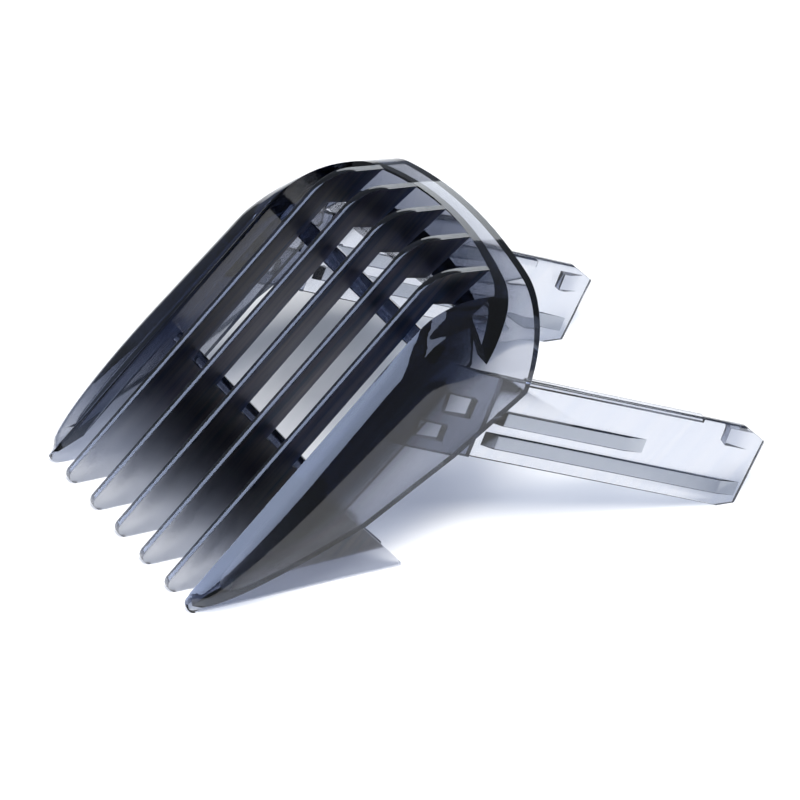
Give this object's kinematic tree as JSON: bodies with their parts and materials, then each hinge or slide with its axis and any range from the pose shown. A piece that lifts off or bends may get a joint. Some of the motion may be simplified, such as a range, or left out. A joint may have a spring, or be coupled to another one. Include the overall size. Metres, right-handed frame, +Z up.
{
  "type": "clipper guard comb",
  "caption": "Hair clipper guard comb with parallel teeth under a hollow arched collar and two long side rails that flex and snap into the clipper.",
  "frame": {"origin": "under the middle of the whole comb, on the surface it rests on", "axes": "+Y from the tooth tips to the tails of the rails, +Z up from the skin side, +X across the teeth"},
  "size_m": [0.05, 0.0717, 0.034],
  "materials": {
    "smoke_plastic": "polished translucent smoke-blue polycarbonate",
    "clear_plastic": "polished translucent polycarbonate, nearly clear where it is thin"
  },
  "bodies": {
    "root": {"collar_arch": "smoke_plastic", "collar_rim": "smoke_plastic", "left_shoulder": "smoke_plastic", "right_shoulder": "smoke_plastic", "left_cheek": "smoke_plastic", "right_cheek": "smoke_plastic", "left_outer_tooth": "smoke_plastic", "inner_tooth_1": "smoke_plastic", "inner_tooth_2": "smoke_plastic", "inner_tooth_3": "smoke_plastic", "inner_tooth_4": "smoke_plastic", "inner_tooth_5": "smoke_plastic", "right_outer_tooth": "smoke_plastic", "front_cross_bar": "smoke_plastic", "rear_cross_bar": "smoke_plastic", "left_rail_root": "clear_plastic", "right_rail_root": "clear_plastic"},
    "left_rail": {"left_rail_arm": "clear_plastic", "left_top_flange": "clear_plastic", "left_upper_rib": "clear_plastic", "left_lower_rib": "clear_plastic", "left_snap_lug": "clear_plastic"},
    "right_rail": {"right_rail_arm": "clear_plastic", "right_top_flange": "clear_plastic", "right_upper_rib": "clear_plastic", "right_lower_rib": "clear_plastic", "right_snap_lug": "clear_plastic"}
  },
  "joints": [
    {"name": "left_rail_flex", "type": "hinge", "parent": "root", "child": "left_rail", "pos_m": [-0.02245, 0.00343, 0.0171], "axis": [0, -0.3987, -0.9171], "range_deg": [-3, 5], "stiffness_Nm_per_rad": 0.3},
    {"name": "right_rail_flex", "type": "hinge", "parent": "root", "child": "right_rail", "pos_m": [0.02245, 0.00343, 0.0171], "axis": [0, 0.3987, 0.9171], "range_deg": [-3, 5], "stiffness_Nm_per_rad": 0.3}
  ]
}
